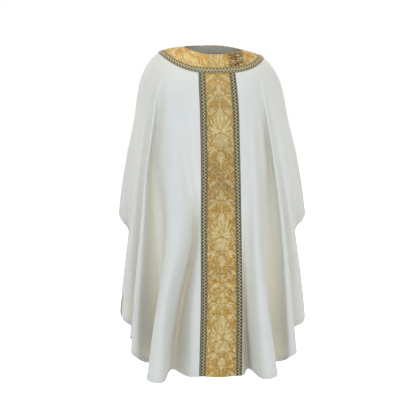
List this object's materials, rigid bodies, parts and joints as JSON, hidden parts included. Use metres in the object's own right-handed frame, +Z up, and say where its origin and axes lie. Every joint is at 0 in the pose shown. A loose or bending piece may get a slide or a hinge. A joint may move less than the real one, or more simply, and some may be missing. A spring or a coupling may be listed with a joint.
{
  "type": "chasuble",
  "caption": "Full gothic chasuble hanging in folds, with a round brocade yoke, brocade orphreys front and back and braid edging; each side lifts at the shoulder.",
  "frame": {"origin": "on the level of the lowest hem, under the middle of the garment's box", "axes": "+Z up, front of the garment towards -Y, the wearer's right arm on the -X side"},
  "size_m": [0.7399, 0.6226, 1.2624],
  "materials": {
    "crepe": "matte off-white crepe, plain weave",
    "crepe_hem": "the same crepe, turned in",
    "brocade": "gold figured brocade with a satin ground",
    "galloon": "woven braid, dark olive and pale gold",
    "interfacing": "stiff plain woven canvas",
    "facing": "smooth lining cloth"
  },
  "bodies": {
    "yoke_body": {"yoke_front": "brocade", "yoke_interfacing_front": "interfacing", "yoke_galloon_front": "galloon", "neck_facing_front": "facing", "centre_panel_front": "crepe", "centre_hem_front": "crepe_hem", "orphrey_interfacing_front": "interfacing", "orphrey_front": "brocade", "galloon_front_left": "galloon", "galloon_front_right": "galloon", "yoke_back": "brocade", "yoke_interfacing_back": "interfacing", "yoke_galloon_back": "galloon", "neck_facing_back": "facing", "centre_panel_back": "crepe", "centre_hem_back": "crepe_hem", "orphrey_interfacing_back": "interfacing", "orphrey_back": "brocade", "galloon_back_left": "galloon", "galloon_back_right": "galloon"},
    "left_side": {"panel_front_left": "crepe", "panel_back_left": "crepe", "hem_front_left": "crepe_hem", "hem_back_left": "crepe_hem", "shoulder_seam_left": "crepe_hem"},
    "right_side": {"panel_front_right": "crepe", "panel_back_right": "crepe", "hem_front_right": "crepe_hem", "hem_back_right": "crepe_hem", "shoulder_seam_right": "crepe_hem"}
  },
  "joints": [
    {"name": "left_side_lift", "type": "hinge", "parent": "yoke_body", "child": "left_side", "pos_m": [-0.2116, 0.0115, 1.2395], "axis": [0, 1, 0], "range_deg": [0, 25]},
    {"name": "right_side_lift", "type": "hinge", "parent": "yoke_body", "child": "right_side", "pos_m": [0.1984, 0.0115, 1.2185], "axis": [0, -1, 0], "range_deg": [0, 25]}
  ]
}
